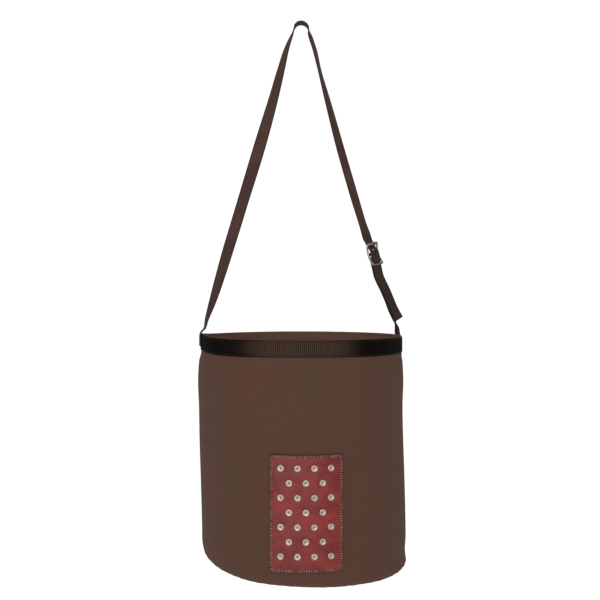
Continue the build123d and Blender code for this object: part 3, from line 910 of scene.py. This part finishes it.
# ---------------------------------------------------------------- materials
class Shader:
    """A node material built up step by step."""

    def __init__(self, name, colour, roughness, metallic=0.0, specular=0.5):
        self.material = bpy.data.materials.new(name)
        self.material.use_nodes = True
        self.tree = self.material.node_tree
        self.bsdf = self.tree.nodes["Principled BSDF"]
        self.set("Base Color", (*colour, 1.0))
        self.set("Roughness", roughness)
        self.set("Metallic", metallic)
        self.set("Specular IOR Level", specular)

    def set(self, socket, value):
        self.bsdf.inputs[socket].default_value = value

    def node(self, kind, **settings):
        made = self.tree.nodes.new(kind)
        for name, value in settings.items():
            setattr(made, name, value)
        return made

    def link(self, output, socket):
        self.tree.links.new(output, socket)

    def maths(self, operation, *values):
        made = self.node("ShaderNodeMath", operation=operation)
        for k, value in enumerate(values):
            if isinstance(value, (int, float)):
                made.inputs[k].default_value = value
            else:
                self.link(value, made.inputs[k])
        return made.outputs[0]

    def place(self, uv=False):
        if uv:
            return self.node("ShaderNodeUVMap", uv_map="cloth").outputs[0]
        return self.node("ShaderNodeTexCoord").outputs["Object"]

    def scaled(self, vector, x, y, z):
        made = self.node("ShaderNodeMapping")
        made.inputs["Scale"].default_value = (x, y, z)
        self.link(vector, made.inputs["Vector"])
        return made.outputs[0]

    def noise(self, vector, scale, detail=3.0, rough=0.55):
        made = self.node("ShaderNodeTexNoise")
        made.inputs["Scale"].default_value = scale
        made.inputs["Detail"].default_value = detail
        made.inputs["Roughness"].default_value = rough
        self.link(vector, made.inputs["Vector"])
        return made.outputs["Fac"]

    def cells(self, vector, scale):
        made = self.node("ShaderNodeTexVoronoi")
        made.inputs["Scale"].default_value = scale
        self.link(vector, made.inputs["Vector"])
        return made.outputs["Distance"]

    def ramp(self, value, low, high, out_low=0.0, out_high=1.0):
        made = self.node("ShaderNodeMapRange", interpolation_type="SMOOTHSTEP")
        limits = {"From Min": low, "From Max": high, "To Min": out_low, "To Max": out_high}
        for name, number in limits.items():
            made.inputs[name].default_value = number
        self.link(value, made.inputs["Value"])
        return made.outputs[0]

    def mix(self, share, first, second):
        made = self.node("ShaderNodeMix", data_type="RGBA")
        for index, value in ((0, share), (6, first), (7, second)):
            socket = made.inputs[index]
            if isinstance(value, tuple):
                socket.default_value = (*value, 1.0)
            elif isinstance(value, (int, float)):
                socket.default_value = value
            else:
                self.link(value, socket)
        return made.outputs[2]

    def split(self, vector):
        made = self.node("ShaderNodeSeparateXYZ")
        self.link(vector, made.inputs[0])
        return made.outputs

    def weave(self, vector, across, along):
        """Height of a plain weave, with threads at these pitches in metres."""
        axes = self.split(vector)
        u = self.maths("SINE", self.maths("MULTIPLY", axes[0], pi / across))
        v = self.maths("SINE", self.maths("MULTIPLY", axes[1], pi / along))
        over = self.maths("GREATER_THAN", self.maths("MULTIPLY", u, v), 0.0)
        warp = self.maths("MULTIPLY", self.maths("ABSOLUTE", u), over)
        weft = self.maths("MULTIPLY", self.maths("ABSOLUTE", v), self.maths("SUBTRACT", 1.0, over))
        return self.maths("ADD", warp, weft)

    def bump(self, height, strength, distance, normal=None):
        made = self.node("ShaderNodeBump")
        made.inputs["Strength"].default_value = strength
        made.inputs["Distance"].default_value = distance
        self.link(height, made.inputs["Height"])
        if normal is not None:
            self.link(normal, made.inputs["Normal"])
        return made.outputs[0]

    def finish(self, colour=None, roughness=None, normal=None):
        if colour is not None:
            self.link(colour, self.bsdf.inputs["Base Color"])
        if roughness is not None:
            self.link(roughness, self.bsdf.inputs["Roughness"])
        if normal is not None:
            self.link(normal, self.bsdf.inputs["Normal"])
        return self.material


def canvas_material():
    s = Shader("waxed_canvas", (0.082, 0.042, 0.029), 0.86, specular=0.08)
    s.set("Sheen Weight", 0.06)
    s.set("Sheen Roughness", 0.5)
    s.set("Sheen Tint", (0.75, 0.6, 0.5, 1.0))
    uv, place = s.place(uv=True), s.place()
    threads = s.weave(uv, *CANVAS_WEAVE)
    slub = s.noise(s.scaled(uv, 1400, 90, 1), 1.0, 2.0)
    slub_across = s.noise(s.scaled(uv, 90, 1400, 1), 1.0, 2.0)
    cloud = s.noise(place, 9.0, 3.0)
    colour = s.mix(s.ramp(cloud, 0.35, 0.66), (0.089, 0.040, 0.028), (0.077, 0.043, 0.028))
    colour = s.mix(s.ramp(threads, 0.05, 0.55, 0.30, 0.0), colour, (0.037, 0.019, 0.014))
    colour = s.mix(s.ramp(slub, 0.35, 0.75, 0.0, 0.22), colour, (0.124, 0.069, 0.050))
    colour = s.mix(s.ramp(slub_across, 0.4, 0.75, 0.0, 0.18), colour, (0.052, 0.027, 0.019))
    # painted light: the cloth's inner face is made paler than the outer one, standing in for light
    # falling inside the mouth
    inside = s.ramp(s.split(uv)[1], INNER_FROM, INNER_FROM + 0.004, 0.0, 0.8)
    colour = s.mix(inside, colour, (0.181, 0.097, 0.069))
    rough = s.ramp(s.noise(place, 30.0), 0.3, 0.7, 0.80, 0.92)
    body = s.maths("ADD", threads, s.maths("MULTIPLY", slub, 0.6))
    normal = s.bump(body, 0.35, 0.00016)
    creases = s.noise(place, 22.0, 4.0, 0.6)
    return s.finish(colour, rough, s.bump(creases, 0.12, 0.0025, normal))


def band_material():
    s = Shader("glossy_webbing", (0.006, 0.0038, 0.003), 0.30, specular=0.15)
    s.set("Specular Tint", (1.0, 0.66, 0.50, 1.0))
    uv = s.place(uv=True)
    axes = s.split(uv)
    cords = s.maths("ABSOLUTE", s.maths("SINE", s.maths("MULTIPLY", axes[1], pi / CORD_PITCH)))
    fuzz = s.noise(s.scaled(uv, 900, 160, 1), 1.0, 3.0)
    colour = s.mix(s.ramp(fuzz, 0.35, 0.7), (0.0022, 0.0014, 0.0012), (0.0050, 0.0031, 0.0025))
    # painted shade: the grooves between the ribs are darkened
    rib = s.maths("ABSOLUTE", s.maths("SINE", s.maths("MULTIPLY", axes[0], RIBS / (2 * TOP_BAND_R))))
    colour = s.mix(s.ramp(rib, 0.35, 0.85), (0.0012, 0.0009, 0.0008), colour)
    # painted highlight: the rib crests facing the front are lightened as if lit from the front
    ahead = s.ramp(s.split(s.place())[1], -0.125, -0.148)
    painted_crest_highlight = s.maths("MULTIPLY", ahead, s.ramp(rib, 0.5, 0.95, 0.0, 0.8))
    colour = s.mix(painted_crest_highlight, colour, (0.066, 0.037, 0.026))
    rough = s.ramp(fuzz, 0.3, 0.75, 0.24, 0.40)
    normal = s.bump(s.maths("ADD", cords, s.maths("MULTIPLY", fuzz, 0.5)), 0.30, 0.00012)
    return s.finish(colour, rough, normal)


def strap_material():
    s = Shader("strap_webbing", (0.087, 0.039, 0.030), 0.62, specular=0.18)
    s.set("Sheen Weight", 0.04)
    s.set("Sheen Roughness", 0.4)
    uv = s.place(uv=True)
    threads = s.weave(uv, *STRAP_WEAVE)
    fuzz = s.noise(s.scaled(uv, 500, 260, 1), 1.0, 3.0)
    cloud = s.noise(s.place(), 26.0, 2.0)
    colour = s.mix(s.ramp(cloud, 0.3, 0.7), (0.060, 0.027, 0.021), (0.082, 0.038, 0.030))
    colour = s.mix(s.ramp(threads, 0.05, 0.7, 0.85, 0.0), colour, (0.010, 0.0041, 0.0038))
    colour = s.mix(s.ramp(fuzz, 0.45, 0.8, 0.0, 0.35), colour, (0.117, 0.061, 0.049))
    # the turned edges are rubbed dark
    rim = s.split(uv)[0]
    near = s.maths("MINIMUM", rim, s.maths("ABSOLUTE", s.maths("SUBTRACT", rim, STRAP_W - 0.0012)))
    colour = s.mix(s.ramp(near, 0.0016, 0.0004, 0.0, 0.55), colour, (0.021, 0.010, 0.0083))
    # painted shade: everything below the buckle, which faces away from the light, is darkened
    painted_shade_below_buckle = s.ramp(s.split(s.place())[0], 0.096, 0.114, 0.0, 0.42)
    colour = s.mix(painted_shade_below_buckle, colour, (0.012, 0.0056, 0.0064))
    rough = s.ramp(fuzz, 0.3, 0.7, 0.52, 0.70)
    return s.finish(colour, rough, s.bump(threads, 0.6, 0.00042))


def leather_material():
    s = Shader("oxblood_leather", (0.197, 0.026, 0.021), 0.52, specular=0.24)
    uv, place = s.place(uv=True), s.place()
    cloud = s.noise(s.scaled(uv, 1, 1.5, 1), 24.0, 4.0, 0.62)
    fine = s.noise(uv, 160.0, 4.0, 0.6)
    colour = s.mix(s.ramp(cloud, 0.36, 0.62), (0.155, 0.016, 0.015), (0.251, 0.026, 0.021))
    colour = s.mix(s.ramp(fine, 0.42, 0.7, 0.0, 0.5), colour, (0.202, 0.033, 0.024))
    axes = s.split(uv)
    # darker towards the top right corner, duller at the top left
    right = s.ramp(axes[0], 0.012, 0.055)
    high = s.ramp(axes[1], 0.040, 0.082)
    corner = s.maths("MULTIPLY", right, high)
    colour = s.mix(s.maths("MULTIPLY", corner, 0.75), colour, (0.080, 0.0091, 0.015))
    dull = s.maths("MULTIPLY", s.ramp(axes[0], 0.020, -0.050), s.ramp(axes[1], 0.0, 0.075))
    colour = s.mix(s.maths("MULTIPLY", dull, 0.55), colour, (0.140, 0.023, 0.019))
    # the cut edge and the stitch line are darker from handling and dye
    far_x = s.maths("SUBTRACT", PATCH_W / 2, s.maths("ABSOLUTE", axes[0]))
    far_y = s.maths("SUBTRACT", PATCH_H / 2, s.maths("ABSOLUTE", axes[1]))
    edge = s.maths("MINIMUM", far_x, far_y)
    colour = s.mix(s.ramp(edge, 0.0012, 0.0002, 0.0, 0.75), colour, (0.047, 0.010, 0.0093))
    seam = s.maths("ABSOLUTE", s.maths("SUBTRACT", edge, SEAM_IN))
    colour = s.mix(s.ramp(seam, 0.0022, 0.0014, 0.0, 0.62), colour, (0.047, 0.0079, 0.0071))
    grain = s.cells(uv, 950.0)
    pores = s.noise(uv, 620.0, 2.0)
    height = s.maths("ADD", grain, s.maths("MULTIPLY", pores, 0.7))
    colour = s.mix(s.ramp(grain, 0.55, 0.85, 0.0, 0.30), colour, (0.066, 0.010, 0.011))
    rough = s.ramp(cloud, 0.3, 0.7, 0.42, 0.60)
    creases = s.noise(s.scaled(uv, 1, 2.2, 1), 48.0, 5.0, 0.65)
    normal = s.bump(height, 0.35, 0.00022)
    return s.finish(colour, rough, s.bump(creases, 0.25, 0.0009, normal))


def thread_material(name, dark, light, roughness):
    s = Shader(name, light, roughness, specular=0.35)
    place = s.place()
    twist = s.noise(place, 900.0, 2.0)
    patchy = s.noise(place, 130.0, 2.0)
    colour = s.mix(s.ramp(patchy, 0.35, 0.65), dark, light)
    rough = s.ramp(twist, 0.3, 0.7, roughness - 0.1, roughness + 0.1)
    return s.finish(colour, rough, s.bump(twist, 0.5, 0.00015))


def metal_material(name, bright, dull, rough_low, rough_high, scale, metallic=1.0):
    s = Shader(name, bright, rough_low, metallic=metallic)
    place = s.place()
    tarnish = s.noise(place, scale, 4.0, 0.6)
    scratch = s.noise(s.scaled(place, 1, 1, 0.25), 1600.0, 2.0)
    colour = s.mix(s.ramp(tarnish, 0.40, 0.68), bright, dull)
    rough = s.ramp(tarnish, 0.3, 0.7, rough_low, rough_high)
    return s.finish(colour, rough, s.bump(scratch, 0.18, 0.00006))


# ---------------------------------------------------------------- build
canvas = canvas_material()
band_cloth = band_material()
strap_cloth = strap_material()
leather = leather_material()
dark_thread = thread_material("dark_thread", (0.008, 0.005, 0.004), (0.030, 0.019, 0.015), 0.5)
canvas_thread = thread_material("canvas_thread", (0.060, 0.032, 0.024), (0.115, 0.065, 0.048), 0.6)
patch_thread = thread_material("patch_thread", (0.150, 0.066, 0.058), (0.340, 0.200, 0.172), 0.6)
eyelet_metal = metal_material(
    "eyelet_metal", (0.60, 0.50, 0.43), (0.36, 0.33, 0.28), 0.42, 0.60, 420.0, metallic=0.6)
buckle_metal = metal_material("buckle_metal", (0.78, 0.74, 0.70), (0.50, 0.47, 0.44), 0.26, 0.45, 260.0)
tongue_metal = metal_material("tongue_metal", (0.36, 0.33, 0.31), (0.16, 0.14, 0.13), 0.38, 0.55, 320.0)


def on_body(piece, body, slot, *nodes):
    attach(piece, body)
    if nodes:
        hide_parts(*nodes)
    return piece


on_body(build_wall(canvas), "bag", "canvas", "wall_canvas")
on_body(build_bottom(canvas), "bag", "canvas", "bottom_canvas")
on_body(build_band(band_cloth), "bag", "band_webbing", "rim_band")
on_body(build_band_lap(band_cloth), "bag", "band_webbing")
on_body(build_patch(leather), "bag", "patch_leather", "vent_patch")
on_body(build_patch_stitches(patch_thread), "bag", "patch_thread", "patch_thread")
on_body(build_eyelets(eyelet_metal), "bag", "eyelet_metal", "vent_eyelets")
on_body(build_band_stitches(dark_thread), "bag", "dark_thread", "rim_threads")
on_body(build_back_seam(canvas_thread), "bag", "canvas_thread", "back_seam_threads")
on_body(build_bottom_seam(canvas_thread), "bag", "canvas_thread", "bottom_seam_thread")
for build, nodes in (
    (build_upper_strap, ("upper_strap", "strap_end_left")),
    (build_lower_strap, ("lower_strap", "strap_end_right")),
):
    strap = build(strap_cloth)
    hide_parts(*nodes)
    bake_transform(strap)
on_body(build_fold(strap_cloth), "strap", "strap_webbing")
left_end, right_end = build_end_stitches(dark_thread)
for piece, node in ((left_end, "left_end_thread"), (right_end, "right_end_thread")):
    on_body(piece, "bag", "dark_thread", node)
on_body(build_fold_stitches(dark_thread), "strap", "dark_thread", "fold_thread")

for node, material in (
    ("eyelet_washers", eyelet_metal), ("buckle_frame", buckle_metal),
    ("buckle_roller", buckle_metal), ("buckle_tongue", tongue_metal),
):
    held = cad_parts[node]
    held.data.materials.clear()
    held.data.materials.append(material)


# ---------------------------------------------------------------- floor, light, camera
def stage_floor():
    s = Shader("pale_floor", (0.92, 0.92, 0.92), 0.9, specular=0.1)
    s.set("Emission Color", (1.0, 1.0, 1.0, 1.0))
    s.set("Emission Strength", 0.62)
    mottled = s.noise(s.place(), 3.0, 2.0)
    colour = s.mix(s.ramp(mottled, 0.3, 0.7), (0.90, 0.90, 0.90), (0.94, 0.94, 0.94))
    material = s.finish(colour)
    corners = ((-1, -1), (1, -1), (1, 1), (-1, 1))
    points = [(FLOOR_HALF * x, FLOOR_HALF * y, FLOOR_Z) for x, y in corners]
    floor = make_object("floor", points, [[0, 1, 2, 3]], material)
    floor.visible_glossy = False


def area_light(name, place, target, width, height, watts, diffuse=True, glossy=True):
    data = bpy.data.lights.new(name, "AREA")
    data.shape = "RECTANGLE"
    data.size, data.size_y = width, height
    data.energy = watts
    lamp = bpy.data.objects.new(name, data)
    lamp.location = place
    lamp.rotation_euler = (Vector(target) - Vector(place)).to_track_quat("-Z", "Y").to_euler()
    lamp.visible_diffuse = diffuse
    lamp.visible_glossy = glossy
    bpy.context.scene.collection.objects.link(lamp)


def studio_world():
    world = bpy.data.worlds.new("studio")
    bpy.context.scene.world = world
    world.use_nodes = True
    tree = world.node_tree
    background = tree.nodes["Background"]
    background.inputs["Color"].default_value = (1.0, 1.0, 1.0, 1.0)
    rays = tree.nodes.new("ShaderNodeLightPath")
    gloss = tree.nodes.new("ShaderNodeMix")
    tree.links.new(rays.outputs["Is Glossy Ray"], gloss.inputs[0])
    gloss.inputs[2].default_value = WORLD_DIFFUSE
    gloss.inputs[3].default_value = WORLD_GLOSS
    seen = tree.nodes.new("ShaderNodeMix")
    tree.links.new(rays.outputs["Is Camera Ray"], seen.inputs[0])
    tree.links.new(gloss.outputs[0], seen.inputs[2])
    seen.inputs[3].default_value = WORLD_SEEN
    tree.links.new(seen.outputs[0], background.inputs["Strength"])


stage_floor()
studio_world()
area_light("front_softbox", (-0.35, -2.4, 0.15), (0, 0, -0.45), 1.3, 1.1, 12)
area_light("top_softbox", (-0.25, -1.5, 1.25), (0, 0, -0.5), 1.2, 1.0, 13, glossy=False)
area_light("left_fill", (-2.2, -1.2, 0.2), (0, 0, -0.5), 1.2, 1.6, 2.6, glossy=False)
area_light("right_fill", (2.2, -1.0, 0.2), (0, 0, -0.5), 1.2, 1.6, 3.8, glossy=False)
area_light("front_glint", (-0.30, -2.3, -0.60), (0, 0, -0.5), 1.8, 0.8, 20, diffuse=False)

lens = bpy.data.cameras.new("camera")
lens.lens = LENS_MM
lens.sensor_width = 36.0
camera = bpy.data.objects.new("camera", lens)
camera.location = CAMERA_AT
camera.rotation_euler = (pi / 2, 0, 0)
bpy.context.scene.collection.objects.link(camera)
bpy.context.scene.camera = camera
bpy.context.scene.view_settings.view_transform = "Standard"
